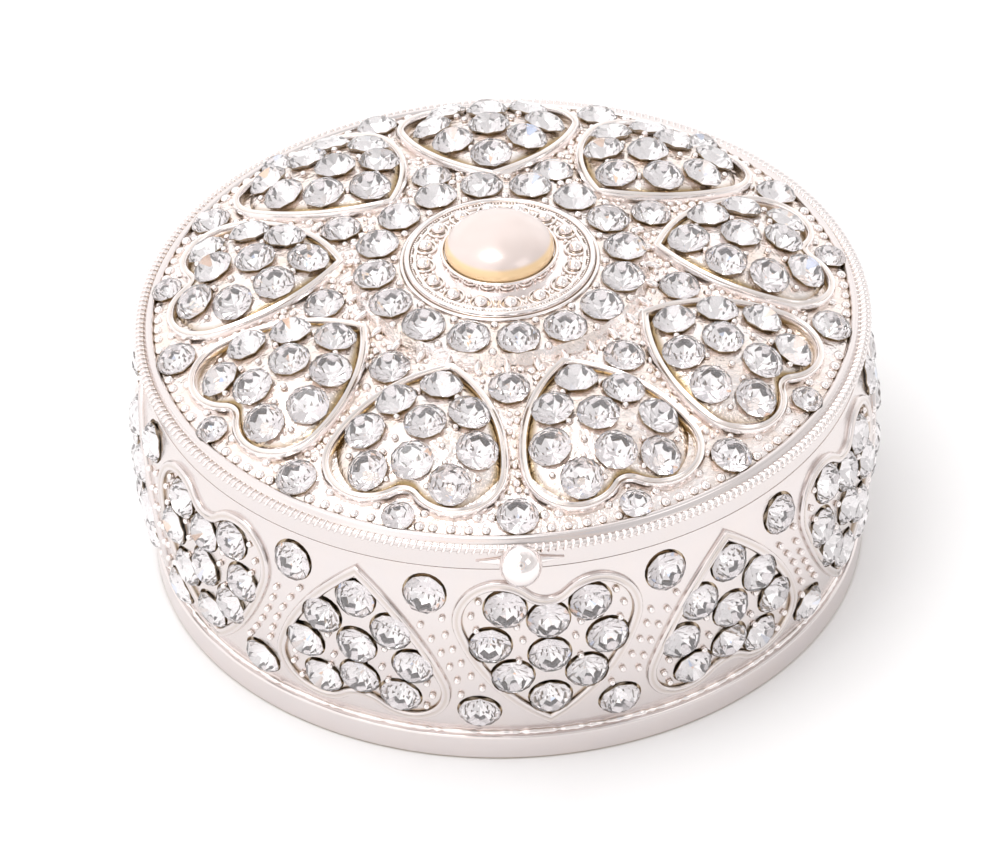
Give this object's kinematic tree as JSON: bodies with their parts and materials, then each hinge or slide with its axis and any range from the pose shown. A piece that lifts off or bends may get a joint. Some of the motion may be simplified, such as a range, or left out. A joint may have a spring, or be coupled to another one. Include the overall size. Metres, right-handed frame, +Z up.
{
  "type": "kumkum box",
  "caption": "Round silver-plated kumkum box with a domed hinged lid, stone-set heart-shaped frames on lid and side, a half pearl on top and a thumb ball.",
  "frame": {"origin": "middle of the flat base, on the surface that the box stands on", "axes": "+Z up along the box's round axis, -Y towards the thumb ball, +Y towards the hinge"},
  "size_m": [0.062, 0.0645, 0.0316],
  "materials": {
    "silver_plate": "bright silver plating over cast metal, golden brown in the recesses",
    "pin_steel": "drawn wire",
    "pearl": "pearlescent, pinkish white over cream",
    "crystal": "clear faceted glass with a silver foil behind it"
  },
  "bodies": {
    "body": {"body_casting": "silver_plate", "body_hinge_leaf": "silver_plate", "hinge_pin": "pin_steel", "side_point_stones": "crystal", "side_heart_stones_1": "crystal", "side_heart_stones_2": "crystal", "side_heart_stones_3": "crystal", "side_heart_stones_4": "crystal", "side_heart_stones_5": "crystal", "side_heart_stones_6": "crystal", "side_heart_stones_7": "crystal", "side_heart_stones_8": "crystal", "side_heart_stones_9": "crystal", "side_heart_stones_10": "crystal", "side_heart_stones_11": "crystal", "side_heart_stones_12": "crystal"},
    "lid": {"lid_casting": "silver_plate", "lid_hinge_leaf": "silver_plate", "thumb_catch": "silver_plate", "pearl_setting": "silver_plate", "pearl": "pearl", "lid_ring_stones": "crystal", "lid_gap_stones": "crystal", "lid_rim_stones": "crystal", "lid_notch_stones": "crystal", "lid_heart_stones_1": "crystal", "lid_heart_stones_2": "crystal", "lid_heart_stones_3": "crystal", "lid_heart_stones_4": "crystal", "lid_heart_stones_5": "crystal", "lid_heart_stones_6": "crystal", "lid_heart_stones_7": "crystal", "lid_heart_stones_8": "crystal", "lid_heart_stones_9": "crystal"}
  },
  "joints": [
    {"name": "lid_hinge", "type": "hinge", "parent": "body", "child": "lid", "pos_m": [0, 0.0309, 0.0198], "axis": [-1, 0, 0], "range_deg": [0, 100]}
  ]
}
